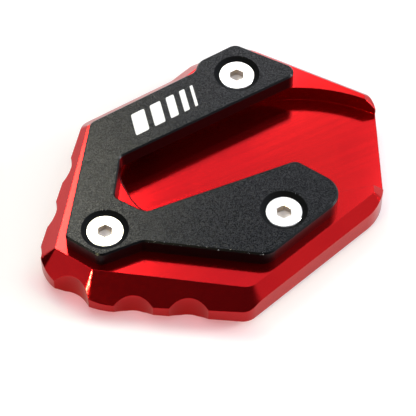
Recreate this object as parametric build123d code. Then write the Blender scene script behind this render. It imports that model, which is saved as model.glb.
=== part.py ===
from build123d import *
import math
import os

# Foot enlarger for a motorbike's side stand: a milled base with a pocket for the stand's foot,
# a clamp plate over the pocket, and three countersunk screws that pull the two together.
# Frame: origin on the ground face, +Z up, +X along the pocket towards its open end.
# Lengths are millimetres and angles are degrees. A side is a straight line in plan, set by the
# direction that its outside faces (from +X) and by its reach (its distance from the origin).

# Heights
base_height = 12.0
plate_thickness = 5.0
pocket_depth = 5.5

# Angles that the sides of the base face. Most of the clamp plate's outer sides run
# parallel to them.
east_angle = -25.4
northeast_angle = 35.7
north_angle = 95.5
west_angle = 143.3
southwest_angle = -151.2
south_angle = -124.8
southeast_angle = -74.3

# Reach of each edge of the base's top face
east_rim = 48.7
northeast_rim = 45.7
north_rim = 31.4
west_rim = 37.4
southwest_rim = 49.1
south_rim = 41.5
southeast_rim = 40.7

# Boss on the north side, round one screw: how far its side steps out, how that side is turned,
# and the jog up to it, which leaves the north side at a station along it
boss_step = 3.66
boss_turn = -5.5
jog_turn = 12.6
jog_station = -10.7

# Bevel between the top face and the wall: its width on each side. The west and south walls
# splay from the top face's edge, so those two bevels taper along their length.
bevel_slope = 45.0
east_bevel = 3.3
northeast_bevel = 1.6
north_bevel = 4.5
west_bevel = 2.95
southwest_bevel = 6.2
south_bevel = 6.0
southeast_bevel = 3.4
west_splay = -4.1
south_splay = 2.7

# Corners of the top face: most are left crisp, so the bevel turns them as sharp cones
crisp_radius = 0.4
rim_boss_radius = 6.0
rim_heel_radius = 5.0
rim_jog_radius = 3.0
rim_hollow_radius = 14.0

# Corners of the wall
wall_east_radius = 6.0
wall_boss_radius = 9.0
wall_jog_radius = 7.0
wall_hollow_radius = 10.0
wall_northwest_radius = 3.0
wall_west_radius = 13.0
wall_southwest_radius = 24.0
wall_south_radius = 5.0
wall_southeast_radius = 15.0
ground_chamfer = 2.0

# Scallops milled down the wall. A station is measured along the wall from the foot of the
# perpendicular from the origin.
scallop_radius = 7.9
scallop_pitch = 15.8
west_scallops = 3
west_scallop_depth = 1.4
west_station = 9.4
southwest_scallops = 1
southwest_scallop_depth = 3.0
southwest_station = -9.0
south_scallops = 2
south_scallop_depth = 2.35
south_station = -16.5

# Pocket for the stand's foot: two arcs with a short flat between them close one end, and a long
# shoulder arc runs to the mouth
pocket_end = 25.0
pocket_north = 18.9
pocket_south = 18.5
pocket_south_angle = -103.9
pocket_end_flat = 3.3
shoulder_radius = 48.8
shoulder_angle = 28.0
shoulder_reach = 48.8

# Clamp plate: margins from the base's top face, and the sides that are its own. The west margin is
# held at a station near the heel, and the west side turns about it, so its margin tapers.
north_margin = 2.8
west_margin = 2.65
plate_west_turn = 1.9
plate_west_station = 27.0
southwest_margin = 2.2
south_margin = 8.3
southeast_margin = 2.3
northeast_margin = 3.7
plate_boss_step = 2.8
plate_jog_turn = 39.5
plate_jog_station = -14.15
lug_angle = -93.5
lug_reach = 21.4
toe_angle = 28.4
toe_reach = 13.2

# Slot between the plate's two arms: it widens towards the mouth and closes in a blunt point
slot_half_width = 12.2
slot_taper = 4.0
slot_end_splay = 32.2
slot_end_north = 24.9
slot_end_south = 26.7

# Corners of the clamp plate, and the fine chamfer round its top face
plate_radius = 3.0
plate_toe_radius = 7.0
plate_heel_radius = 6.0
plate_tip_radius = 1.6
plate_jog_radius = 4.0
slot_radius = 2.2
slot_heel_radius = 4.0
plate_chamfer = 0.45

# Countersunk socket screws, M6 x 12, and where they stand inside the plate's sides
screw_diameter = 6.0
screw_length = 12.0
head_diameter = 12.0
head_edge = 0.3
head_recess = 0.85
socket_width = 4.0
socket_depth = 2.4
socket_turn = 33.0
screw_end_chamfer = 0.9
boss_inset = 10.3
edge_inset = 8.4
heel_inset = 10.8
toe_inset = 16.2

# Clearances, and the angle that the straight sides are counted from
plate_hole_clearance = 0.3
thread_clearance = 0.05
seat_clearance = 0.02
overrun = 20.0
right_angle = 90.0


class Side:
    """A straight side in plan: the way that its outside faces, and its reach from the origin."""

    def __init__(self, facing, reach):
        self.facing = facing
        self.reach = reach
        turn = math.radians(facing)
        self.out = Vector(math.cos(turn), math.sin(turn))
        self.along = Vector(-math.sin(turn), math.cos(turn))

    def moved(self, distance):
        """The side moved outwards."""
        return Side(self.facing, self.reach + distance)

    def turned(self, turn, station=0.0):
        """The side turned about the point at a station along it."""
        reach = self.reach * math.cos(math.radians(turn)) + station * math.sin(math.radians(turn))
        return Side(self.facing + turn, reach)

    def meet(self, other):
        """The point where this side crosses another."""
        lean = self.out.dot(other.out)
        own_share = (self.reach - other.reach * lean) / (1 - lean**2)
        other_share = (other.reach - self.reach * lean) / (1 - lean**2)
        return self.out * own_share + other.out * other_share

    def point(self, station, distance):
        """The point at a station along the side, at a distance outside it."""
        return self.along * station + self.out * (self.reach + distance)


def outline(*sides_and_radii):
    """A closed face from anticlockwise sides, each with the radius of the corner that ends it."""
    sides = [side for side, radius in sides_and_radii]
    radii = [radius for side, radius in sides_and_radii]
    following = sides[1:] + sides[:1]
    corners = [side.meet(after) for side, after in zip(sides, following)]
    return make_face(FilletPolyline(*corners, radius=radii, close=True))


def prism(face, bottom, top):
    """A plan face made solid between two heights."""
    return extrude(Pos(0, 0, bottom) * face, amount=top - bottom, dir=(0, 0, 1))


# Top face's edges, and the walls outside them
rim_east = Side(east_angle, east_rim)
rim_northeast = Side(northeast_angle, northeast_rim)
rim_north = Side(north_angle, north_rim)
rim_boss = rim_north.moved(boss_step).turned(boss_turn)
rim_jog = rim_north.turned(jog_turn, jog_station)
rim_west = Side(west_angle, west_rim)
rim_southwest = Side(southwest_angle, southwest_rim)
rim_south = Side(south_angle, south_rim)
rim_southeast = Side(southeast_angle, southeast_rim)
wall_east = rim_east.moved(east_bevel)
wall_northeast = rim_northeast.moved(northeast_bevel)
wall_boss = rim_boss.moved(north_bevel)
wall_jog = rim_jog.moved(north_bevel)
wall_north = rim_north.moved(north_bevel)
wall_west = rim_west.moved(west_bevel).turned(west_splay)
wall_southwest = rim_southwest.moved(southwest_bevel)
wall_south = rim_south.moved(south_bevel).turned(south_splay)
wall_southeast = rim_southeast.moved(southeast_bevel)

# Pocket's sides, and the radius that leaves the flat between the arcs of its closed end
pocket_shoulder_side = Side(shoulder_angle, shoulder_reach)
pocket_north_side = Side(right_angle, pocket_north)
pocket_end_side = Side(2 * right_angle, pocket_end)
pocket_south_side = Side(pocket_south_angle, pocket_south)
pocket_end_top = pocket_end_side.meet(pocket_north_side)
pocket_end_foot = pocket_end_side.meet(pocket_south_side)
pocket_end_span = (pocket_end_top - pocket_end_foot).length
pocket_south_turn = math.radians(pocket_south_angle + 2 * right_angle)
pocket_end_radius = (pocket_end_span - pocket_end_flat) / (1 + math.tan(pocket_south_turn / 2))

# Clamp plate's sides
plate_northeast = rim_northeast.moved(-northeast_margin)
plate_north = rim_north.moved(-north_margin)
plate_boss = plate_north.moved(plate_boss_step)
plate_jog = plate_north.turned(plate_jog_turn, plate_jog_station)
plate_west = rim_west.moved(-west_margin).turned(plate_west_turn, plate_west_station)
plate_southwest = rim_southwest.moved(-southwest_margin)
plate_lug = Side(lug_angle, lug_reach)
plate_south = rim_south.moved(-south_margin)
plate_southeast = rim_southeast.moved(-southeast_margin)
plate_toe = Side(toe_angle, toe_reach)
slot_south = Side(right_angle - slot_taper, -slot_half_width)
slot_southwest = Side(slot_end_splay, -slot_end_south)
slot_northwest = Side(-slot_end_splay, -slot_end_north)
slot_north = Side(slot_taper - right_angle, -slot_half_width)

# Places of the screws, and the heights that the pieces share
boss_screw = plate_boss.moved(-boss_inset).meet(plate_northeast.moved(-boss_inset))
heel_screw = plate_west.moved(-heel_inset).meet(plate_southwest.moved(-edge_inset))
toe_screw = plate_south.moved(-toe_inset).meet(plate_southeast.moved(-edge_inset))
screw_places = [boss_screw, heel_screw, toe_screw]
pocket_floor = base_height - pocket_depth
plate_top = base_height + plate_thickness
screw_top = plate_top - head_recess


def scallops(wall, depth, first_station, count):
    """Upright cutters that scallop a wall to a depth, at an even pitch."""
    stations = [first_station + number * scallop_pitch for number in range(count)]
    centres = [wall.point(station, scallop_radius - depth) for station in stations]
    return [prism(Pos(centre) * Circle(scallop_radius), 0, base_height) for centre in centres]


def make_base():
    """The milled base: walls, bevels and ground chamfer, then scallops, pocket and holes."""
    wall = outline(
        (wall_east, wall_east_radius),
        (wall_northeast, wall_boss_radius),
        (wall_boss, wall_jog_radius),
        (wall_jog, wall_hollow_radius),
        (wall_north, wall_northwest_radius),
        (wall_west, wall_west_radius),
        (wall_southwest, wall_southwest_radius),
        (wall_south, wall_south_radius),
        (wall_southeast, wall_southeast_radius),
    )
    top_face = outline(
        (rim_east, crisp_radius),
        (rim_northeast, rim_boss_radius),
        (rim_boss, rim_jog_radius),
        (rim_jog, rim_hollow_radius),
        (rim_north, crisp_radius),
        (rim_west, crisp_radius),
        (rim_southwest, crisp_radius),
        (rim_south, rim_heel_radius),
        (rim_southeast, crisp_radius),
    )
    pocket = outline(
        (wall_east.moved(overrun), 0),
        (pocket_shoulder_side, shoulder_radius),
        (pocket_north_side, pocket_end_radius),
        (pocket_end_side, pocket_end_radius),
        (pocket_south_side, 0),
    )
    blank = prism(wall, 0, base_height)
    blank = chamfer(blank.edges().group_by(Axis.Z)[0], ground_chamfer)
    top_face = Pos(0, 0, base_height) * top_face
    bevels = extrude(top_face, amount=-base_height, taper=bevel_slope - right_angle)
    base = blank & bevels
    base -= scallops(wall_west, west_scallop_depth, west_station, west_scallops)
    base -= scallops(wall_southwest, southwest_scallop_depth, southwest_station, southwest_scallops)
    base -= scallops(wall_south, south_scallop_depth, south_station, south_scallops)
    base -= prism(pocket, pocket_floor, plate_top)
    hole = Circle(screw_diameter / 2 + thread_clearance)
    base -= [prism(Pos(place) * hole, 0, base_height) for place in screw_places]
    return base


def make_plate():
    """The clamp plate: two arms round a slot, chamfered on top, with three countersunk holes."""
    face = outline(
        (plate_southeast, plate_toe_radius),
        (plate_toe, plate_radius),
        (slot_south, slot_heel_radius),
        (slot_southwest, slot_radius),
        (slot_northwest, slot_radius),
        (slot_north, plate_radius),
        (plate_northeast, plate_radius),
        (plate_boss, plate_jog_radius),
        (plate_jog, plate_jog_radius),
        (plate_north, plate_radius),
        (plate_west, plate_tip_radius),
        (plate_southwest, plate_radius),
        (plate_lug, slot_radius),
        (plate_south, plate_heel_radius),
    )
    plate = prism(face, base_height, plate_top)
    plate = chamfer(plate.edges().group_by(Axis.Z)[-1], plate_chamfer)
    hole_radius = screw_diameter / 2 + plate_hole_clearance
    sink_radius = head_diameter / 2 + head_recess + seat_clearance
    sink_depth = sink_radius - hole_radius
    hole = Cylinder(hole_radius, plate_thickness, align=(Align.CENTER, Align.CENTER, Align.MAX))
    sink = Cone(hole_radius, sink_radius, sink_depth, align=(Align.CENTER, Align.CENTER, Align.MAX))
    plate -= [Pos(place) * Pos(0, 0, plate_top) * (hole + sink) for place in screw_places]
    return plate


def make_screw():
    """One countersunk socket screw, head up, with the top of its head at the origin."""
    shank = screw_diameter / 2
    head = head_diameter / 2
    profile = Polyline(
        (0, 0),
        (head - head_edge, 0),
        (head - head_edge, -head_edge),
        (shank, shank - head),
        (shank, screw_end_chamfer - screw_length),
        (shank - screw_end_chamfer, -screw_length),
        (0, -screw_length),
        close=True,
    )
    screw = revolve(Plane.XZ * make_face(profile), Axis.Z)
    socket = RegularPolygon(socket_width / 2, 6, major_radius=False, rotation=socket_turn)
    return screw - prism(socket, -socket_depth, 0)


screw = make_screw()
screws = Compound([Pos(place) * Pos(0, 0, screw_top) * screw for place in screw_places])

os.makedirs("parts", exist_ok=True)
export_step(make_base(), "parts/base_plate.step")
export_step(make_plate(), "parts/clamp_plate.step")
export_step(screws, "parts/clamp_screws.step")
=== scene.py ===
"""The looks of a kickstand foot enlarger: red foot plate, black clamp plate and three steel screws."""

import logging
import math
from dataclasses import dataclass
from enum import Enum

import bpy
import numpy as np
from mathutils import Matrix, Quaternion, Vector


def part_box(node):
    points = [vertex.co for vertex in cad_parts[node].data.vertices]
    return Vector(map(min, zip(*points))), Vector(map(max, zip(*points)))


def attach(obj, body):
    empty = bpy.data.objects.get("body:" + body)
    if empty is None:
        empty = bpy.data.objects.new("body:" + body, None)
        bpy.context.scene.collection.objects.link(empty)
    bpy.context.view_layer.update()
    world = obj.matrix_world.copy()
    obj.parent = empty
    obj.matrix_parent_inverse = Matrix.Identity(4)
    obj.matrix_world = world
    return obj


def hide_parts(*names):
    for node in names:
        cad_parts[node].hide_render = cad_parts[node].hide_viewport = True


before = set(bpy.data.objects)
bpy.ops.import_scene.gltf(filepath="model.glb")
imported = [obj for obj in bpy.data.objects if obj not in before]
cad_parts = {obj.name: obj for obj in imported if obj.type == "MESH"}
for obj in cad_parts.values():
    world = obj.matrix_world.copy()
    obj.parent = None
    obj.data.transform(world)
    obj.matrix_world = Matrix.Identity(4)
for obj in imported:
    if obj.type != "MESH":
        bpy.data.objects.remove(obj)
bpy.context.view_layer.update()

BODY = "root"
MM = 0.001
FULL_TURN = 2.0 * math.pi
THREAD_FLAT = 0.125
LOG = logging.getLogger("foot_enlarger")

Colour = tuple[float, float, float, float]
WHITE: Colour = (1.0, 1.0, 1.0, 1.0)


class Slot(Enum):
    """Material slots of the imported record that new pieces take."""

    RED = "red_anodised"
    STEEL = "stainless"


class Ends(Enum):
    """How a stack of rings is closed."""

    POLES = "the first and the last ring are single points"
    LOOP = "the last ring joins the first"


def heading(azimuth: float, elevation: float) -> Vector:
    """Unit vector towards a point of the studio.

    Args:
        azimuth: degrees, where 0 is in front along -Y and 90 is along +X.
        elevation: degrees above the floor.

    Returns:
        (sin a cos e, -cos a cos e, sin e).
    """
    a = math.radians(azimuth)
    e = math.radians(elevation)
    return Vector((math.sin(a) * math.cos(e), -math.cos(a) * math.cos(e), math.sin(e)))


def smooth_step(t: np.ndarray) -> np.ndarray:
    """t clipped to 0..1 and eased as 3 t^2 - 2 t^3."""
    t = np.clip(t, 0.0, 1.0)
    return t * t * (3.0 - 2.0 * t)


def thread_groove(angle: np.ndarray, z: np.ndarray, pitch: float) -> np.ndarray:
    """Depth of a right-handed thread, 0 on its crest and 1 at its root.

    Args:
        angle: angles round the screw's axis.
        z: heights along it.
        pitch: rise of one turn, in the unit of z.

    Returns:
        (1 + 2 f) (1 - |2 p - 1|) - f held to 0..1, where p is the fraction of z / pitch - angle / turn
        and f is the share of the depth that is cut flat at crest and root.
    """
    phase = np.mod(z / pitch - angle / FULL_TURN, 1.0)
    wedge = 1.0 - np.abs(2.0 * phase - 1.0)
    return np.clip((1.0 + 2.0 * THREAD_FLAT) * wedge - THREAD_FLAT, 0.0, 1.0)


def node_points(node: str) -> np.ndarray:
    """The vertices of a CAD node's mesh, in metres."""
    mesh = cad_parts[node].data
    points = np.zeros(len(mesh.vertices) * 3, np.float32)
    mesh.vertices.foreach_get("co", points)
    return points.reshape(-1, 3).astype(float)


def ring_faces(rows: int, columns: int, ends: Ends) -> tuple[np.ndarray, np.ndarray]:
    """Faces of a stack of rings, numbered row by row, with the poles as the last two vertices.

    Args:
        rows: how many rings there are, poles left out.
        columns: vertices in a ring.
        ends: how the stack closes.

    Returns:
        Quads as (n, 4) and triangles as (m, 3) vertex numbers.
    """
    index = np.arange(rows * columns).reshape(rows, columns)
    after = np.roll(index, -1, axis=1)
    if ends is Ends.LOOP:
        below, below_after = np.roll(index, -1, axis=0), np.roll(after, -1, axis=0)
        quads = np.stack([index, after, below_after, below], axis=-1).reshape(-1, 4)
        return quads, np.zeros((0, 3), int)
    quads = np.stack([index[:-1], after[:-1], after[1:], index[1:]], axis=-1).reshape(-1, 4)
    first = np.full(columns, rows * columns)
    start = np.stack([first, after[0], index[0]], axis=-1)
    stop = np.stack([first + 1, index[-1], after[-1]], axis=-1)
    return quads, np.concatenate([start, stop])


def stack_rings(rings: np.ndarray, ends: Ends) -> tuple[np.ndarray, list[list[int]]]:
    """A closed surface through rings of points, facing outwards.

    Args:
        rings: (rows, columns, 3) points in metres.
        ends: how the stack closes.

    Returns:
        Vertices as (n, 3), and faces. The faces are turned round where the volume enclosed, a sixth of
        the sum of a . (b x c) over the triangles, comes out negative.
    """
    if ends is Ends.POLES:
        body = rings[1:-1]
        vertices = np.concatenate([body.reshape(-1, 3), rings[0, :1], rings[-1, :1]])
    else:
        body = rings
        vertices = body.reshape(-1, 3)
    quads, caps = ring_faces(body.shape[0], body.shape[1], ends)
    corners = np.concatenate([quads[:, [0, 1, 2]], quads[:, [0, 2, 3]], caps])
    a, b, c = (vertices[corners[:, k]] for k in range(3))
    if np.einsum("ij,ij->", a, np.cross(b, c)) < 0.0:
        quads = quads[:, ::-1]
        caps = caps[:, ::-1]
    return vertices, quads.tolist() + caps.tolist()


def make_piece(
    name: str,
    vertices: np.ndarray,
    faces: list[list[int]],
    material: bpy.types.Material,
    crease: float = 30.0,
) -> bpy.types.Object:
    """Puts a surface into the scene as a piece that rides on the part.

    Args:
        name: the piece's name.
        vertices: (n, 3) points in metres, in the part's frame.
        faces: vertex numbers of each face.
        material: its finish.
        crease: degrees between faces above which an edge is sharp.

    Returns:
        The new object, at the origin.
    """
    mesh = bpy.data.meshes.new(name)
    mesh.from_pydata(vertices.tolist(), [], faces)
    mesh.shade_smooth()
    mesh.set_sharp_from_angle(angle=math.radians(crease))
    mesh.materials.append(material)
    piece = bpy.data.objects.new(name, mesh)
    bpy.context.scene.collection.objects.link(piece)
    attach(piece, BODY)
    LOG.info("piece %s: %d faces", name, len(faces))
    return piece


def dress_node(name: str, material: bpy.types.Material) -> None:
    """Gives a CAD node its finish and leaves its mesh as it is."""
    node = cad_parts[name]
    node.data.materials.clear()
    node.data.materials.append(material)
    LOG.info("node %s: %s", name, material.name)


class NodeBench:
    """A shader tree with short calls that add nodes and join them."""

    BEVEL_SAMPLES = 4

    def __init__(self, tree: bpy.types.NodeTree) -> None:
        """Clears the tree that is to be filled."""
        self.tree = tree
        tree.nodes.clear()

    def feed(self, socket: bpy.types.NodeSocket, value: object) -> None:
        """Links an output into a socket, or sets the socket to a constant."""
        if isinstance(value, bpy.types.NodeSocket):
            self.tree.links.new(value, socket)
        else:
            socket.default_value = value

    def add(self, kind: str, inputs: dict | None = None, **settings: object) -> bpy.types.Node:
        """Adds a node.

        Args:
            kind: Blender's name of the node type.
            inputs: values or outputs for its sockets, by socket name or number.
            settings: values of the node's own properties.

        Returns:
            The node.
        """
        node = self.tree.nodes.new(kind)
        for name, value in settings.items():
            setattr(node, name, value)
        for key, value in (inputs or {}).items():
            self.feed(node.inputs[key], value)
        return node

    def math(self, operation: str, *values: object) -> bpy.types.NodeSocket:
        """The result of a Math node on values or outputs."""
        node = self.add("ShaderNodeMath", dict(enumerate(values)), operation=operation)
        return node.outputs[0]

    def span(
        self, value: object, low: object, high: object, to_low: object = 0.0, to_high: object = 1.0
    ) -> bpy.types.NodeSocket:
        """value carried smoothly and clamped from low..high to to_low..to_high."""
        inputs = {0: value, 1: low, 2: high, 3: to_low, 4: to_high}
        return self.add("ShaderNodeMapRange", inputs, interpolation_type="SMOOTHSTEP").outputs[0]

    def around(self, share: object, middle: float, reach: float) -> bpy.types.NodeSocket:
        """A value that goes from reach below the middle to reach above it as share goes from 0 to 1."""
        return self.span(share, 0.0, 1.0, middle - reach, middle + reach)

    def dot(self, first: object, second: object) -> bpy.types.NodeSocket:
        """The dot product of two vectors."""
        pair = {0: first, 1: second}
        return self.add("ShaderNodeVectorMath", pair, operation="DOT_PRODUCT").outputs["Value"]

    def bevel(self, radius: float) -> bpy.types.NodeSocket:
        """The surface's normal, turned near an edge as if the edge were rounded."""
        node = self.add("ShaderNodeBevel", {"Radius": radius}, samples=self.BEVEL_SAMPLES)
        return node.outputs[0]

    def mix(self, share: object, first: object, second: object) -> bpy.types.NodeSocket:
        """The colour that goes from first to second as share goes from 0 to 1."""
        return self.add("ShaderNodeMix", {0: share, 6: first, 7: second}, data_type="RGBA").outputs[2]

    def noise(self, vector: object, scale: object, detail: object = 2.0) -> bpy.types.NodeSocket:
        """Smooth noise, about 0.5 in the mean."""
        inputs = {"Vector": vector, "Scale": scale, "Detail": detail}
        return self.add("ShaderNodeTexNoise", inputs).outputs[0]

    def group(self, tree: bpy.types.NodeTree, inputs: dict) -> bpy.types.NodeOutputs:
        """Places a node group and returns its outputs."""
        node = self.add("ShaderNodeGroup", node_tree=tree)
        for key, value in inputs.items():
            self.feed(node.inputs[key], value)
        return node.outputs

    def finish(self, inputs: dict) -> None:
        """Ends a material's tree with one Principled shader that has these inputs."""
        shader = self.add("ShaderNodeBsdfPrincipled", inputs)
        self.add("ShaderNodeOutputMaterial", {0: shader.outputs[0]})


class SharedEffects:
    """Surface effects that several finishes use, each a node group that is built once."""

    DETAIL = 3.0
    MIDDLE = 0.5
    DRIFT_BAND = (0.3, 0.7)
    LINE_BAND = (0.25, 0.75)
    EDGE_BAND = (0.995, 0.93)

    def __init__(self) -> None:
        """Builds the groups."""
        self.grain = self.build_grain()
        self.drift = self.build_drift()
        self.tool_lines = self.build_tool_lines()
        self.edge_wear = self.build_edge_wear()

    def start(
        self,
        name: str,
        vectors: tuple[str, ...],
        values: dict[str, float],
        results: tuple[str, ...] = ("Mask",),
    ) -> tuple[NodeBench, bpy.types.NodeOutputs]:
        """Opens a group.

        Args:
            name: the group's name.
            vectors: names of its vector inputs.
            values: names and defaults of its number inputs.
            results: names of its outputs.

        Returns:
            The bench to fill it with, and its inputs as seen from inside.
        """
        tree = bpy.data.node_groups.new(name, "ShaderNodeTree")
        for label in vectors:
            tree.interface.new_socket(label, in_out="INPUT", socket_type="NodeSocketVector")
        for label, value in values.items():
            socket = tree.interface.new_socket(label, in_out="INPUT", socket_type="NodeSocketFloat")
            socket.default_value = value
        for label in results:
            tree.interface.new_socket(label, in_out="OUTPUT", socket_type="NodeSocketFloat")
        bench = NodeBench(tree)
        return bench, bench.add("NodeGroupInput").outputs

    def build_grain(self) -> bpy.types.NodeTree:
        """A blasted surface: cells that each have their own tone, over the rise and fall of noise."""
        values = {"Scale": 3000.0, "Contrast": 1.5}
        bench, given = self.start("fine_grain", ("Vector",), values, ("Mask", "Height"))
        cells = bench.add("ShaderNodeTexVoronoi", {"Vector": given["Vector"], "Scale": given["Scale"]})
        speck = bench.add("ShaderNodeSeparateColor", {0: cells.outputs["Color"]}).outputs[0]
        rise = bench.noise(given["Vector"], given["Scale"])
        tone = bench.math("MULTIPLY", bench.math("ADD", speck, rise), self.MIDDLE)
        offset = bench.math("SUBTRACT", tone, self.MIDDLE)
        raised = bench.math("MULTIPLY_ADD", offset, given["Contrast"], self.MIDDLE)
        clear = bench.span(raised, 0.0, 1.0)
        bench.add("NodeGroupOutput", {"Mask": bench.math("MULTIPLY", clear, clear), "Height": rise})
        return bench.tree

    def build_drift(self) -> bpy.types.NodeTree:
        """Slow change of tone over a surface: broad noise."""
        bench, given = self.start("tone_drift", ("Vector",), {"Scale": 30.0})
        broad = bench.noise(given["Vector"], given["Scale"], self.DETAIL)
        bench.add("NodeGroupOutput", {0: bench.span(broad, *self.DRIFT_BAND)})
        return bench.tree

    def build_tool_lines(self) -> bpy.types.NodeTree:
        """Passes of a cutter along X: noise drawn out along X by the stretch."""
        bench, given = self.start("tool_lines", ("Vector",), {"Scale": 1500.0, "Stretch": 0.02})
        across = bench.add("ShaderNodeCombineXYZ", {0: given["Stretch"], 1: 1.0, 2: 1.0}).outputs[0]
        pair = {0: given["Vector"], 1: across}
        drawn = bench.add("ShaderNodeVectorMath", pair, operation="MULTIPLY").outputs[0]
        lines = bench.noise(drawn, given["Scale"])
        bench.add("NodeGroupOutput", {0: bench.span(lines, *self.LINE_BAND)})
        return bench.tree

    def build_edge_wear(self) -> bpy.types.NodeTree:
        """Edges rubbed paler: how far the rounded normal leans from the face, broken up by noise."""
        rubbing = {"Scale": 700.0, "From": 0.3, "To": 0.7, "Least": 0.2}
        bench, given = self.start("edge_wear", ("Vector", "Rounded", "Face"), rubbing)
        edge = bench.span(bench.dot(given["Rounded"], given["Face"]), *self.EDGE_BAND)
        uneven = bench.noise(given["Vector"], given["Scale"], self.DETAIL)
        broken = bench.span(uneven, given["From"], given["To"], given["Least"])
        bench.add("NodeGroupOutput", {0: bench.math("MULTIPLY", edge, broken)})
        return bench.tree


def new_material(name: str) -> tuple[bpy.types.Material, NodeBench]:
    """An empty material and the bench to fill it with."""
    material = bpy.data.materials.new(name)
    material.use_nodes = True
    return material, NodeBench(material.node_tree)


@dataclass(frozen=True)
class RedAnodise:
    """Bright red anodised aluminium with cutter lines; its dyed skin scatters a share of the light. A
    painted shade line darkens the pocket's rim at its closed end.

    Lengths are in metres, and scales in cells per metre. A band is where an effect starts and is full.
    """

    deep: Colour = (0.57, 0.004, 0.008, 1.0)
    bright: Colour = (0.63, 0.007, 0.009, 1.0)
    rubbed: Colour = (0.60, 0.012, 0.014, 1.0)
    metal_share: float = 0.95
    dye_index: float = 1.15
    skin_weight: float = 0.20
    skin_index: float = 1.5
    skin_roughness: float = 0.08
    roughness: float = 0.13
    line_roughness: float = 0.02
    line_scale: float = 1500.0
    line_stretch: float = 0.02
    line_depth: float = 0.002 * MM
    line_strength: float = 0.5
    drift_scale: float = 45.0
    edge_radius: float = 0.30 * MM
    # Near-black colour of the painted shade line along the pocket's rim.
    rim_shade: Colour = (0.08, 0.0, 0.002, 1.0)
    rim_band: tuple[float, float] = (0.38 * MM, 0.50 * MM)
    rim_level: tuple[float, float] = (11.4 * MM, 11.7 * MM)
    rim_fade: float = 1.0 * MM
    arc_x: float = -9.03 * MM
    arc_y: tuple[float, float] = (-0.37 * MM, 2.93 * MM)
    arc_radius: float = 15.97 * MM

    def pocket_rim_shade(self, bench: NodeBench, place: bpy.types.NodeSocket) -> bpy.types.NodeSocket:
        """A painted shade line on the upper edge round the pocket's closed end, standing in for the
        dark reflection of the broken edge: two arcs and the flat between them.

        The edge lies at arc_radius from the line that joins the arcs' middles, (arc_x, arc_y).

        Args:
            bench: the material's tree.
            place: the object coordinates.

        Returns:
            1 on the painted shade line and 0 elsewhere.
        """
        axes = bench.add("ShaderNodeSeparateXYZ", {0: place}).outputs
        low, high = self.arc_y
        inner = bench.math("MINIMUM", bench.math("MAXIMUM", axes["Y"], low), high)
        aside = bench.math("SUBTRACT", axes["Y"], inner)
        along = bench.math("MINIMUM", bench.math("SUBTRACT", axes["X"], self.arc_x), 0.0)
        out = {0: bench.add("ShaderNodeCombineXYZ", {0: along, 1: aside, 2: 0.0}).outputs[0]}
        reach = bench.add("ShaderNodeVectorMath", out, operation="LENGTH").outputs["Value"]
        away = bench.math("ABSOLUTE", bench.math("SUBTRACT", reach, self.arc_radius))
        closed = bench.span(axes["X"], self.arc_x - self.rim_fade, self.arc_x, 1.0, 0.0)
        upper = bench.math("MULTIPLY", closed, bench.span(axes["Z"], *self.rim_level))
        return bench.math("MULTIPLY", bench.span(away, *self.rim_band, 1.0, 0.0), upper)

    def material(self, effects: SharedEffects) -> bpy.types.Material:
        """The finish as a node material.

        Args:
            effects: the shared node groups.

        Returns:
            The material.
        """
        material, bench = new_material("red_anodise")
        place = bench.add("ShaderNodeTexCoord").outputs["Object"]
        face = bench.add("ShaderNodeNewGeometry").outputs["True Normal"]
        rounded = bench.bevel(self.edge_radius)
        worn = bench.group(effects.edge_wear, {"Vector": place, "Rounded": rounded, "Face": face})[0]
        drift = bench.group(effects.drift, {"Vector": place, "Scale": self.drift_scale})[0]
        cut = {"Vector": place, "Scale": self.line_scale, "Stretch": self.line_stretch}
        lines = bench.group(effects.tool_lines, cut)[0]
        tone = bench.mix(worn, bench.mix(drift, self.deep, self.bright), self.rubbed)
        height = {
            "Strength": self.line_strength,
            "Distance": self.line_depth,
            "Height": lines,
            "Normal": rounded,
        }
        bench.finish({
            # Painted shade: the pocket's rim is darkened to a thin near-black line.
            "Base Color": bench.mix(self.pocket_rim_shade(bench, place), tone, self.rim_shade),
            "Metallic": self.metal_share,
            "Roughness": bench.around(lines, self.roughness, self.line_roughness),
            "IOR": self.dye_index,
            "Coat Weight": self.skin_weight,
            "Coat Roughness": self.skin_roughness,
            "Coat IOR": self.skin_index,
            "Normal": bench.add("ShaderNodeBump", height).outputs[0],
        })
        return material


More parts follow.
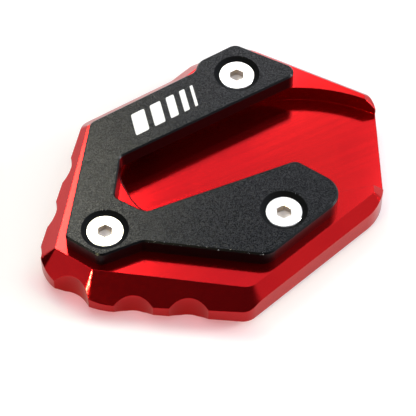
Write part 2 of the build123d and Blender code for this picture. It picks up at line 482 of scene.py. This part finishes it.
@dataclass(frozen=True)
class BlackAnodise:
    """Black anodised aluminium: blasted and grainy on its flat top, milled and glossy on its sides,
    with painted highlights along its front chamfer.

    Lengths are in metres, and scales in cells per metre. A slope is the Z share of a face's normal.
    """

    dark: Colour = (0.001, 0.001, 0.0014, 1.0)
    light: Colour = (0.036, 0.037, 0.040, 1.0)
    rubbed: Colour = (0.012, 0.012, 0.014, 1.0)
    # White of the painted glints on the chipped edges of the front chamfer.
    bare_glint: Colour = (0.90, 0.90, 0.92, 1.0)
    chip_glint_scale: float = 1300.0
    chip_glint_rarity: tuple[float, float] = (0.64, 0.67)
    chip_glint_reach: float = 0.45 * MM
    glint_side: float = -34.8
    glint_facing: tuple[float, float] = (0.62, 0.68)
    chip_glint_slope: tuple[float, float] = (0.40, 0.60)
    blasted_roughness: float = 0.12
    milled_roughness: float = 0.30
    sink_roughness: float = 0.80
    sink_band: tuple[float, float] = (6.85 * MM, 6.95 * MM)
    blasted_slope: tuple[float, float] = (0.80, 0.98)
    grain_scale: float = 4000.0
    grain_contrast: float = 2.2
    speck_metal: float = 0.5
    grain_depth: float = 0.06 * MM
    grain_strength: float = 0.50
    edge_radius: float = 0.10 * MM
    index: float = 1.25
    gloss_tint: Colour = (0.86, 0.92, 1.0, 1.0)
    skin_index: float = 1.15
    skin_roughness: float = 0.34

    def chip_glints(
        self,
        bench: NodeBench,
        effects: SharedEffects,
        edge: dict[str, bpy.types.NodeSocket],
        upward: bpy.types.NodeSocket,
    ) -> bpy.types.NodeSocket:
        """Small bare chips along the chamfer of the plate's front side, painted white: a painted
        highlight standing in for the glints of burrs.

        Args:
            bench: the material's tree.
            effects: the shared node groups.
            edge: the inputs of the edge wear group for this finish.
            upward: the Z share of the face's normal.

        Returns:
            1 on a painted glint and 0 elsewhere.
        """
        wide = bench.bevel(self.chip_glint_reach)
        rarity = dict(zip(("From", "To"), self.chip_glint_rarity))
        spots = {**edge, **rarity, "Rounded": wide, "Scale": self.chip_glint_scale, "Least": 0.0}
        broken = bench.group(effects.edge_wear, spots)[0]
        along = bench.dot(edge["Face"], tuple(heading(self.glint_side, 0.0)))
        front = bench.span(along, *self.glint_facing)
        chamfer = bench.span(upward, *self.chip_glint_slope)
        return bench.math("MULTIPLY", broken, bench.math("MULTIPLY", front, chamfer))

    def countersinks(
        self, bench: NodeBench, place: bpy.types.NodeSocket, axes: list[np.ndarray]
    ) -> bpy.types.NodeSocket:
        """The dull cones round the screws, by the distance to the nearest screw's axis.

        Args:
            bench: the material's tree.
            place: the object coordinates.
            axes: (x, y) of each screw in metres.

        Returns:
            1 within a countersink's rim and 0 outside it.
        """
        level = {0: place, 1: (1.0, 1.0, 0.0)}
        plan = bench.add("ShaderNodeVectorMath", level, operation="MULTIPLY").outputs[0]
        nearest = self.sink_band[1]
        for x, y in axes:
            pair = {0: plan, 1: (x, y, 0.0)}
            away = bench.add("ShaderNodeVectorMath", pair, operation="DISTANCE").outputs["Value"]
            nearest = bench.math("MINIMUM", nearest, away)
        return bench.span(nearest, *self.sink_band, 1.0, 0.0)

    def material(self, effects: SharedEffects, axes: list[np.ndarray]) -> bpy.types.Material:
        """The finish as a node material.

        Args:
            effects: the shared node groups.
            axes: (x, y) of each screw in metres.

        Returns:
            The material.
        """
        material, bench = new_material("black_anodise")
        place = bench.add("ShaderNodeTexCoord").outputs["Object"]
        face = bench.add("ShaderNodeNewGeometry").outputs["True Normal"]
        rounded = bench.bevel(self.edge_radius)
        upward = bench.add("ShaderNodeSeparateXYZ", {0: face}).outputs["Z"]
        blasted = bench.span(upward, *self.blasted_slope)
        pits = {"Vector": place, "Scale": self.grain_scale, "Contrast": self.grain_contrast}
        grain = bench.group(effects.grain, pits)
        specks = bench.math("MULTIPLY", grain["Mask"], blasted)
        edge = {"Vector": place, "Rounded": rounded, "Face": face}
        worn = bench.group(effects.edge_wear, edge)[0]
        skin = bench.mix(worn, bench.mix(specks, self.dark, self.light), self.rubbed)
        chip_glint = self.chip_glints(bench, effects, edge, upward)
        sunk = self.countersinks(bench, place, axes)
        cut = bench.span(sunk, 0.0, 1.0, self.milled_roughness, self.sink_roughness)
        glossy = bench.math("SUBTRACT", 1.0, bench.math("MAXIMUM", blasted, sunk))
        height = {
            "Strength": self.grain_strength,
            "Distance": self.grain_depth,
            "Height": bench.math("MULTIPLY", grain["Height"], blasted),
            "Normal": rounded,
        }
        bench.finish({
            # Painted highlight: white glint spots on the front chamfer.
            "Base Color": bench.mix(chip_glint, skin, self.bare_glint),
            "Metallic": bench.math("MULTIPLY", specks, self.speck_metal),
            "Roughness": bench.span(blasted, 0.0, 1.0, cut, self.blasted_roughness),
            "IOR": self.index,
            "Specular Tint": self.gloss_tint,
            "Coat Weight": glossy,
            "Coat Roughness": self.skin_roughness,
            "Coat IOR": self.skin_index,
            "Normal": bench.add("ShaderNodeBump", height).outputs[0],
        })
        return material


@dataclass(frozen=True)
class TurnedSteel:
    """Bright stainless steel with the fine rings that a lathe leaves, and a duller broached socket
    painted darker as shade in its recess.
    """

    light: Colour = (0.96, 0.955, 0.945, 1.0)
    dull: Colour = (0.83, 0.81, 0.78, 1.0)
    # Darker colour of the socket: rougher broached steel, and painted shade in the recess.
    broached_shade: Colour = (0.72, 0.66, 0.61, 1.0)
    roughness: float = 0.20
    broached_roughness: float = 0.38
    ring_roughness: float = 0.04
    ring_pitch: float = 0.16 * MM
    ring_depth: float = 0.004 * MM
    ring_strength: float = 0.4
    stain_scale: float = 300.0
    grain_scale: float = 5000.0
    grain_contrast: float = 2.0

    def material(self, effects: SharedEffects) -> bpy.types.Material:
        """The finish as a node material; it follows the piece's turned_radius and broached_shade
        attributes, and darkens the socket as painted shade.

        Args:
            effects: the shared node groups.

        Returns:
            The material.
        """
        material, bench = new_material("turned_steel")
        place = bench.add("ShaderNodeTexCoord").outputs["Object"]
        radius = bench.add("ShaderNodeAttribute", attribute_name="turned_radius").outputs["Fac"]
        socket = bench.add("ShaderNodeAttribute", attribute_name="broached_shade").outputs["Fac"]
        wave = bench.math("SINE", bench.math("MULTIPLY", radius, FULL_TURN / self.ring_pitch))
        rings = bench.span(wave, -1.0, 1.0)
        drift = bench.group(effects.drift, {"Vector": place, "Scale": self.stain_scale})[0]
        pits = {"Vector": place, "Scale": self.grain_scale, "Contrast": self.grain_contrast}
        stain = bench.math("MULTIPLY", drift, bench.group(effects.grain, pits)[0])
        turned = bench.mix(stain, self.light, self.dull)
        smooth = bench.around(rings, self.roughness, self.ring_roughness)
        rough = bench.math("MULTIPLY", socket, self.broached_roughness)
        height = {"Strength": self.ring_strength, "Distance": self.ring_depth, "Height": rings}
        bench.finish({
            # Painted shade: the hexagon socket is darkened towards its broached colour.
            "Base Color": bench.mix(socket, turned, self.broached_shade),
            "Metallic": 1.0,
            "Roughness": bench.math("MAXIMUM", smooth, rough),
            "Normal": bench.add("ShaderNodeBump", height).outputs[0],
        })
        return material


@dataclass(frozen=True)
class WhiteInk:
    """White screen-printed ink, thin enough to show the grain under it."""

    solid: Colour = (0.95, 0.95, 0.95, 1.0)
    thin: Colour = (0.88, 0.88, 0.89, 1.0)
    roughness: float = 0.45
    grain_roughness: float = 0.08
    grain_scale: float = 3200.0
    grain_contrast: float = 1.0
    grain_depth: float = 0.015 * MM
    grain_strength: float = 0.4

    def material(self, effects: SharedEffects) -> bpy.types.Material:
        """The finish as a node material.

        Args:
            effects: the shared node groups.

        Returns:
            The material.
        """
        material, bench = new_material("white_ink")
        place = bench.add("ShaderNodeTexCoord").outputs["Object"]
        pits = {"Vector": place, "Scale": self.grain_scale, "Contrast": self.grain_contrast}
        grain = bench.group(effects.grain, pits)
        height = {
            "Strength": self.grain_strength,
            "Distance": self.grain_depth,
            "Height": grain["Height"],
        }
        bench.finish({
            "Base Color": bench.mix(grain["Mask"], self.solid, self.thin),
            "Roughness": bench.around(grain["Mask"], self.roughness, self.grain_roughness),
            "Normal": bench.add("ShaderNodeBump", height).outputs[0],
        })
        return material


@dataclass
class FootPlate:
    """The red plate that stands on the ground, with three tapped holes; sizes in millimetres."""

    node: str = "base_plate"
    bore_radius: float = 3.06
    thread_pitch: float = 1.0
    thread_depth: float = 0.54
    thread_root: float = 0.02
    thread_start: float = 0.4
    thread_stop: float = 4.0
    columns: int = 64
    rows: int = 60

    def dress(self, material: bpy.types.Material) -> None:
        """Gives the plate its finish."""
        dress_node(self.node, material)

    def thread_rings(self) -> np.ndarray:
        """The thread below a screw's tip: r = bore - root - depth (1 - groove), faded out at both ends.

        Returns:
            (rows, columns, 3) points about the hole's axis, up the ridges and back down the bore.
        """
        angle = np.arange(self.columns) * FULL_TURN / self.columns
        z = np.linspace(self.thread_start, self.thread_stop, self.rows)[:, None]
        groove = thread_groove(angle, z, self.thread_pitch)
        ends = np.minimum(z - self.thread_start, self.thread_stop - z)
        ridge = self.thread_depth * (1.0 - groove) * smooth_step(ends / self.thread_pitch)
        inside = self.bore_radius - self.thread_root - ridge
        radius = np.concatenate([inside, np.full((2, self.columns), self.bore_radius)])
        height = np.concatenate([z, z[-1:], z[:1]]) * np.ones_like(angle)
        return np.stack([radius * np.cos(angle), radius * np.sin(angle), height], axis=-1)

    def cut_threads(self, axes: list[np.ndarray], material: bpy.types.Material) -> None:
        """Lines the three holes with their threads, as seen from below.

        Args:
            axes: (x, y) in metres of each hole.
            material: the plate's finish.
        """
        rings = self.thread_rings() * MM
        for number, (x, y) in enumerate(axes, start=1):
            vertices, faces = stack_rings(rings + np.array([x, y, 0.0]), Ends.LOOP)
            make_piece(f"tapped_thread_{number}", vertices, faces, material)


@dataclass
class ClampScrews:
    """Three countersunk screws with hexagon sockets; sizes in millimetres."""

    node: str = "clamp_screws"
    count: int = 3
    head_radius: float = 5.6
    head_rim: float = 0.4
    rim_width: float = 0.4
    rim_crown: float = 0.03
    shank_radius: float = 3.0
    thread_pitch: float = 1.0
    thread_depth: float = 0.61
    tip_chamfer: float = 0.9
    socket_sides: int = 6
    socket_flat: float = 2.0
    socket_depth: float = 2.2
    mouth_edge: float = 0.06
    drill_radius: float = 1.85
    drill_depth: float = 0.9
    socket_turn: float = 33.0
    thread_relief: float = 0.1
    face_inner: float = 2.7
    face_rows: int = 12
    rim_rows: int = 5
    columns: int = 96
    thread_rows: int = 96
    tip_band: float = 0.01

    def axes(self) -> list[np.ndarray]:
        """Finds each screw's axis from the CAD node: the middle of each cluster of its lowest points.

        Returns:
            One (x, y) in metres per screw, from left to right.
        """
        points = node_points(self.node)
        tips = points[points[:, 2] < points[:, 2].min() + self.tip_band * MM][:, :2]
        seeds = [tips[tips[:, 0].argmin()]]
        while len(seeds) < self.count:
            gaps = np.min([np.linalg.norm(tips - seed, axis=1) for seed in seeds], axis=0)
            seeds.append(tips[gaps.argmax()])
        owner = np.argmin([np.linalg.norm(tips - seed, axis=1) for seed in seeds], axis=0)
        groups = [tips[owner == k] for k in range(self.count)]
        middles = [(group.min(axis=0) + group.max(axis=0)) / 2.0 for group in groups]
        return sorted(middles, key=lambda middle: middle[0])

    def socket_radius(self, angle: np.ndarray) -> np.ndarray:
        """Hexagon: flat / cos of the angle from the middle of the nearest side."""
        half = self.half_side()
        side = np.mod(angle - math.radians(self.socket_turn) + half, 2.0 * half) - half
        return self.socket_flat / np.cos(side)

    def half_side(self) -> float:
        """The angle from the middle of a side of the hexagon to its corner."""
        return FULL_TURN / self.socket_sides / 2.0

    def angles(self) -> np.ndarray:
        """Even steps round the screw, with one on every corner of the hexagon."""
        start = math.radians(self.socket_turn) + self.half_side()
        return start + np.arange(self.columns) * FULL_TURN / self.columns

    def socket_rings(self, angle: np.ndarray) -> list[tuple[np.ndarray, np.ndarray]]:
        """Radius and depth below the head's face, from the drill point up to the chamfered mouth.

        Args:
            angle: the angles of a ring's points.

        Returns:
            (radius, z) of each ring.
        """
        hexagon = self.socket_radius(angle)
        one = np.ones_like(angle)
        return [
            (0.0 * one, -(self.socket_depth + self.drill_depth) * one),
            (self.drill_radius * one, -self.socket_depth * one),
            (hexagon, -self.socket_depth * one),
            (hexagon, -self.mouth_edge * one),
            (hexagon + self.mouth_edge, 0.0 * one),
        ]

    def head_rings(self, angle: np.ndarray) -> list[tuple[np.ndarray, np.ndarray]]:
        """Rings over the flat face, the rounded rim and the cone, down to the shank.

        Args:
            angle: the angles of a ring's points.

        Returns:
            (radius, z) of each ring; over the share s of the rim, z = -rim s + 4 crown s (1 - s).
        """
        one = np.ones_like(angle)
        flat = self.head_radius - self.rim_width
        face = np.linspace(self.face_inner, flat, self.face_rows)
        rings = [(radius * one, 0.0 * one) for radius in face]
        for s in np.linspace(0.0, 1.0, self.rim_rows)[1:-1]:
            drop = self.head_rim * s - 4.0 * self.rim_crown * s * (1.0 - s)
            rings.append(((flat + self.rim_width * s) * one, -drop * one))
        rings.append((self.head_radius * one, -self.head_rim * one))
        cone_end = self.head_rim + self.head_radius - self.shank_radius
        rings.append((self.shank_radius * one, -cone_end * one))
        return rings

    def thread_rings(self, angle: np.ndarray, length: float) -> list[tuple[np.ndarray, np.ndarray]]:
        """The threaded shank: its radius is the crest less the depth times the groove.

        Args:
            angle: the angles of a ring's points.
            length: from the head's face to the tip.

        Returns:
            (radius, z) of each ring, with the tip's chamfer and its middle point.
        """
        one = np.ones_like(angle)
        top = self.head_rim + self.head_radius - self.shank_radius
        z = -np.linspace(top + self.thread_relief, length - self.tip_chamfer, self.thread_rows)[:, None]
        groove = thread_groove(angle, z, self.thread_pitch)
        run_out = smooth_step((-z - top) / self.thread_pitch)
        run_in = smooth_step((length + z) / self.tip_chamfer)
        radius = self.shank_radius - self.thread_depth * groove * run_out * run_in
        rings = [(radius[k], z[k] * one) for k in range(self.thread_rows)]
        tip = self.shank_radius - self.tip_chamfer
        rings.append((tip * one, -length * one))
        rings.append((0.0 * one, -length * one))
        return rings

    def build(self, axes: list[np.ndarray], material: bpy.types.Material) -> None:
        """Makes the three screws and lets them stand for the CAD node.

        Args:
            axes: (x, y) in metres of each screw.
            material: their finish.
        """
        low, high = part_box(self.node)
        length = (high.z - low.z) / MM
        angle = self.angles()
        stations = self.socket_rings(angle) + self.head_rings(angle) + self.thread_rings(angle, length)
        radius = np.array([station[0] for station in stations]) * MM
        height = np.array([station[1] for station in stations]) * MM + high.z
        for number, (x, y) in enumerate(axes, start=1):
            rings = np.stack([x + radius * np.cos(angle), y + radius * np.sin(angle), height], axis=-1)
            vertices, faces = stack_rings(rings, Ends.POLES)
            piece = make_piece(f"clamp_screw_{number}", vertices, faces, material)
            self.mark_surfaces(piece, vertices - np.array([x, y, high.z]))
            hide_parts(self.node)

    def mark_surfaces(self, piece: bpy.types.Object, points: np.ndarray) -> None:
        """Writes the attributes that the steel finish follows.

        Args:
            piece: the screw.
            points: its vertices about the middle of the head's face, in metres.
        """
        turned = np.hypot(points[:, 0], points[:, 1])
        depth = -points[:, 2]
        reach = (self.socket_flat / math.cos(self.half_side()) + self.mouth_edge) * MM
        deepest = (self.socket_depth + self.drill_depth + self.mouth_edge) * MM
        sunk = (turned < reach) & (depth > self.mouth_edge / 2.0 * MM) & (depth < deepest)
        for name, values in {"turned_radius": turned, "broached_shade": sunk}.items():
            attribute = piece.data.attributes.new(name, "FLOAT", "POINT")
            attribute.data.foreach_set("value", values.astype(np.float32))


@dataclass
class ClampPlate:
    """The black slotted plate with a row of printed stripes on its long arm; sizes in millimetres."""

    node: str = "clamp_plate"
    stripe_widths: tuple[float, ...] = (4.6, 3.7, 2.8, 1.9, 1.0)
    stripe_gap: float = 1.9
    stripe_height: float = 7.6
    stripe_slant: float = 0.35
    row_centre: tuple[float, float] = (-3.5, 20.4)
    row_turn: float = 5.5
    ink_thickness: float = 0.03
    corner_power: float = 12.0
    columns: int = 64

    def dress(self, material: bpy.types.Material) -> None:
        """Gives the plate its finish."""
        dress_node(self.node, material)

    def stripe_rings(self, left: float, width: float) -> np.ndarray:
        """One stripe as rings, from the middle of its underside round its rim to the middle of its top.

        The rim is the rounded oblong x = w/2 sgn(cos t)|cos t|^(2/n), y = h/2 sgn(sin t)|sin t|^(2/n),
        sheared by x += slant y.

        Args:
            left: the stripe's left edge along the row.
            width: its width.

        Returns:
            (rows, columns, 3) points along the row, across it and up.
        """
        t = np.arange(self.columns) * FULL_TURN / self.columns
        power = 2.0 / self.corner_power
        x = width / 2.0 * np.sign(np.cos(t)) * np.abs(np.cos(t)) ** power
        y = self.stripe_height / 2.0 * np.sign(np.sin(t)) * np.abs(np.sin(t)) ** power
        share = np.array([0.0, 1.0, 1.0, 0.0])[:, None]
        up = np.array([0.0, 0.0, 1.0, 1.0])[:, None] * self.ink_thickness * np.ones_like(t)
        along = left + width / 2.0 + share * (x + self.stripe_slant * y)
        return np.stack([along, share * y, up], axis=-1)

    def print_stripes(self, material: bpy.types.Material) -> None:
        """Prints the row of stripes on the plate's top.

        Args:
            material: the ink.
        """
        total = sum(self.stripe_widths) + self.stripe_gap * (len(self.stripe_widths) - 1)
        turn = math.radians(self.row_turn)
        along = np.array([math.cos(turn), math.sin(turn)])
        across = np.array([-along[1], along[0]])
        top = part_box(self.node)[1].z
        vertices = np.zeros((0, 3))
        faces = []
        left = -total / 2.0
        for width in self.stripe_widths:
            points, sides = stack_rings(self.stripe_rings(left, width), Ends.POLES)
            flat = np.array(self.row_centre) + points[:, :1] * along + points[:, 1:2] * across
            placed = np.column_stack([flat * MM, top + points[:, 2] * MM])
            faces += [[corner + len(vertices) for corner in side] for side in sides]
            vertices = np.concatenate([vertices, placed])
            left += width + self.stripe_gap
        make_piece("print_stripes", vertices, faces, material)


@dataclass(frozen=True)
class Lamp:
    """A rectangular studio lamp that looks at the part; distances in metres, power in watts."""

    name: str
    azimuth: float
    elevation: float
    distance: float
    width: float
    height: float
    power: float
    colour: tuple[float, float, float] = (1.0, 1.0, 1.0)
    roll: float = 0.0
    spread: float = 180.0

    def hang(self, target: Vector) -> None:
        """Puts the lamp in place and aims it at the target."""
        light = bpy.data.lights.new(self.name, "AREA")
        light.shape = "RECTANGLE"
        light.size = self.width
        light.size_y = self.height
        light.energy = self.power
        light.color = self.colour
        light.spread = math.radians(self.spread)
        lamp = bpy.data.objects.new(self.name, light)
        towards = heading(self.azimuth, self.elevation)
        lamp.location = target + towards * self.distance
        rolled = Quaternion((0.0, 0.0, 1.0), math.radians(self.roll))
        lamp.rotation_euler = (towards.to_track_quat("Z", "Y") @ rolled).to_euler()
        bpy.context.scene.collection.objects.link(lamp)


@dataclass
class Studio:
    """A pale floor, a room that is dark behind the camera, lamps and the camera.

    Lengths are in metres and angles in degrees. A side is (azimuth, elevation) as heading takes them,
    and a spread is a pair of cosines as nearness takes them.
    """

    floor_reach: float = 4.0
    floor_drop: float = 0.02 * MM
    floor_colour: Colour = (0.70, 0.70, 0.71, 1.0)
    floor_fleck: Colour = (0.73, 0.73, 0.74, 1.0)
    fleck_scale: float = 60.0
    floor_white: float = 0.36
    mirrored_white: float = 0.2
    glow_node: str = "base_plate"
    # Pink of the painted reflection of the red walls on the floor.
    reflection_tint: Colour = (1.0, 0.25, 0.42, 1.0)
    glow_sides: tuple[float, float] = (-34.8, -61.2)
    glow_band: tuple[float, float] = (-1.0 * MM, 7.0 * MM)
    glow_middle: float = -48.0
    glow_spread: tuple[float, float] = (0.72, 0.92)
    room_pale: Colour = (0.54, 0.56, 0.62, 1.0)
    room_right: Colour = (0.74, 0.75, 0.79, 1.0)
    room_dark: Colour = (0.08, 0.08, 0.09, 1.0)
    room_left: Colour = (0.01, 0.01, 0.015, 1.0)
    left_side: tuple[float, float] = (-128.0, 10.0)
    left_spread: tuple[float, float] = (0.82, 0.93)
    right_side: tuple[float, float] = (60.0, 22.0)
    right_spread: tuple[float, float] = (0.55, 0.90)
    dark_elevation: float = 40.0
    dark_spread: tuple[float, float] = (0.60, 0.92)
    camera_azimuth: float = -27.0
    camera_elevation: float = 53.8
    camera_distance: float = 0.5645
    camera_target: tuple[float, float, float] = (-0.0029, -0.0069, 0.0005)
    camera_lens: float = 164.42
    camera_near: float = 0.01
    lamps: tuple[Lamp, ...] = (
        Lamp("key", 168.0, 53.2, 0.80, 0.10, 0.10, 0.48, (1.0, 0.90, 0.60)),
        Lamp("west_softbox", 182.0, 54.0, 0.90, 0.30, 0.35, 1.00, (0.90, 0.96, 1.0)),
        Lamp("back_softbox", 153.0, 54.0, 1.20, 1.4, 0.9, 1.65, (0.94, 0.98, 1.0)),
        Lamp("low_strip", 146.0, 44.0, 0.80, 0.12, 0.11, 0.07, (1.0, 0.90, 0.75)),
        Lamp("arm_strip", 151.5, 46.0, 0.80, 0.085, 0.07, 0.080, (1.0, 0.96, 0.96)),
        Lamp("east_strip", 133.0, 50.0, 0.80, 0.10, 0.12, 0.045),
        Lamp("zenith", 153.0, 86.0, 1.00, 0.4, 0.4, 0.5),
        Lamp("right_lamp", 95.0, 50.0, 1.00, 0.4, 0.4, 0.8),
        Lamp("low_right", 70.0, 24.0, 1.00, 0.30, 0.20, 5.4),
        Lamp("glint", -66.0, 29.2, 0.70, 0.16, 0.018, 0.19, (1.0, 0.88, 0.46), 12.6, 60.0),
    )

    def lay_floor(self) -> None:
        """A large flat sheet just below the part, so that the two never share a plane."""
        across = self.floor_reach * np.array([-1.0, 1.0, 1.0, -1.0])
        along = self.floor_reach * np.array([-1.0, -1.0, 1.0, 1.0])
        corners = np.column_stack([across, along, np.full(4, -self.floor_drop)])
        mesh = bpy.data.meshes.new("floor")
        mesh.from_pydata(corners.tolist(), [], [(0, 1, 2, 3)])
        floor = bpy.data.objects.new("floor", mesh)
        bpy.context.scene.collection.objects.link(floor)
        mesh.materials.append(self.floor_material())

    def floor_material(self) -> bpy.types.Material:
        """Matt white paper. Seen directly it also shines a little, so that its shadow stays faint, and
        near the part's front sides that shine is tinted red as a painted reflection of the walls.
        """
        material, bench = new_material("pale_floor")
        place = bench.add("ShaderNodeTexCoord").outputs["Object"]
        path = bench.add("ShaderNodeLightPath").outputs
        direct = bench.math("MAXIMUM", path["Is Camera Ray"], path["Is Transmission Ray"])
        mirrored = bench.math("MULTIPLY", path["Is Glossy Ray"], self.mirrored_white)
        share = bench.math("MULTIPLY", bench.math("MAXIMUM", direct, mirrored), self.floor_white)
        paper = bench.mix(bench.noise(place, self.fleck_scale), self.floor_colour, self.floor_fleck)
        matt = bench.add("ShaderNodeBsdfDiffuse", {"Color": paper}).outputs[0]
        # Painted reflection: the floor's own shine turns pink at the foot of the front walls.
        shown = bench.mix(self.painted_red_reflection(bench, place), WHITE, self.reflection_tint)
        white = bench.add("ShaderNodeEmission", {"Color": shown, "Strength": share}).outputs[0]
        both = bench.add("ShaderNodeAddShader", {0: matt, 1: white}).outputs[0]
        bench.add("ShaderNodeOutputMaterial", {0: both})
        return material

    def painted_red_reflection(self, bench: NodeBench, place: bpy.types.NodeSocket) -> bpy.types.NodeSocket:
        """Painted red reflection of the walls on the floor, which fades with the distance from the two
        front sides.

        Args:
            bench: the floor's tree.
            place: the object coordinates.

        Returns:
            1 at the foot of the walls to 0 away from them and round the other sides.
        """
        points = node_points(self.glow_node)
        away = self.glow_band[0]
        for azimuth in self.glow_sides:
            outward = heading(azimuth, 0.0)
            reach = float((points @ np.array(outward)).max())
            beyond = bench.math("SUBTRACT", bench.dot(place, tuple(outward)), reach)
            away = bench.math("MAXIMUM", away, beyond)
        towards = bench.add("ShaderNodeVectorMath", {0: place}, operation="NORMALIZE").outputs[0]
        front = self.nearness(bench, towards, heading(self.glow_middle, 0.0), self.glow_spread)
        return bench.math("MULTIPLY", bench.span(away, *self.glow_band, 1.0, 0.0), front)

    def nearness(
        self,
        bench: NodeBench,
        towards: bpy.types.NodeSocket,
        middle: Vector,
        spread: tuple[float, float],
    ) -> bpy.types.NodeSocket:
        """Share of a soft patch round a middle direction.

        Args:
            bench: the tree to build in.
            towards: the direction.
            middle: unit vector to the patch's middle.
            spread: cosines from the middle at which the patch ends and is full.

        Returns:
            0 outside the patch to 1 at its middle.
        """
        return bench.span(bench.dot(towards, tuple(middle)), *spread)

    def light_room(self) -> None:
        """The room's own light: pale, brighter on the right, dark on the left and behind the camera."""
        world = bpy.data.worlds.new("room")
        world.use_nodes = True
        bpy.context.scene.world = world
        bench = NodeBench(world.node_tree)
        towards = bench.add("ShaderNodeTexCoord").outputs["Generated"]
        right = self.nearness(bench, towards, heading(*self.right_side), self.right_spread)
        back = heading(self.camera_azimuth, self.dark_elevation)
        behind = self.nearness(bench, towards, back, self.dark_spread)
        left = self.nearness(bench, towards, heading(*self.left_side), self.left_spread)
        sides = bench.mix(right, self.room_pale, self.room_right)
        shaded = bench.mix(left, bench.mix(behind, sides, self.room_dark), self.room_left)
        room = bench.add("ShaderNodeBackground", {0: shaded})
        bench.add("ShaderNodeOutputWorld", {0: room.outputs[0]})

    def set_camera(self) -> None:
        """A long lens at the photograph's angle."""
        data = bpy.data.cameras.new("camera")
        data.lens = self.camera_lens
        data.clip_start = self.camera_near
        camera = bpy.data.objects.new("camera", data)
        towards = heading(self.camera_azimuth, self.camera_elevation)
        camera.location = Vector(self.camera_target) + towards * self.camera_distance
        camera.rotation_euler = towards.to_track_quat("Z", "Y").to_euler()
        bpy.context.scene.collection.objects.link(camera)
        bpy.context.scene.camera = camera

    def build(self) -> None:
        """Sets up the whole studio."""
        bpy.context.scene.view_settings.view_transform = "Standard"
        self.lay_floor()
        self.light_room()
        for lamp in self.lamps:
            lamp.hang(Vector(self.camera_target))
        self.set_camera()


def main() -> None:
    """Dresses the plates, makes the threads, the print and the screws, and sets up the studio."""
    logging.basicConfig(level=logging.INFO, format="%(message)s")
    effects = SharedEffects()
    red = RedAnodise().material(effects)
    foot = FootPlate()
    screws = ClampScrews()
    plate = ClampPlate()
    axes = screws.axes()
    foot.dress(red)
    foot.cut_threads(axes, red)
    plate.dress(BlackAnodise().material(effects, axes))
    plate.print_stripes(WhiteInk().material(effects))
    screws.build(axes, TurnedSteel().material(effects))
    Studio().build()


if __name__ == "__main__":
    main()
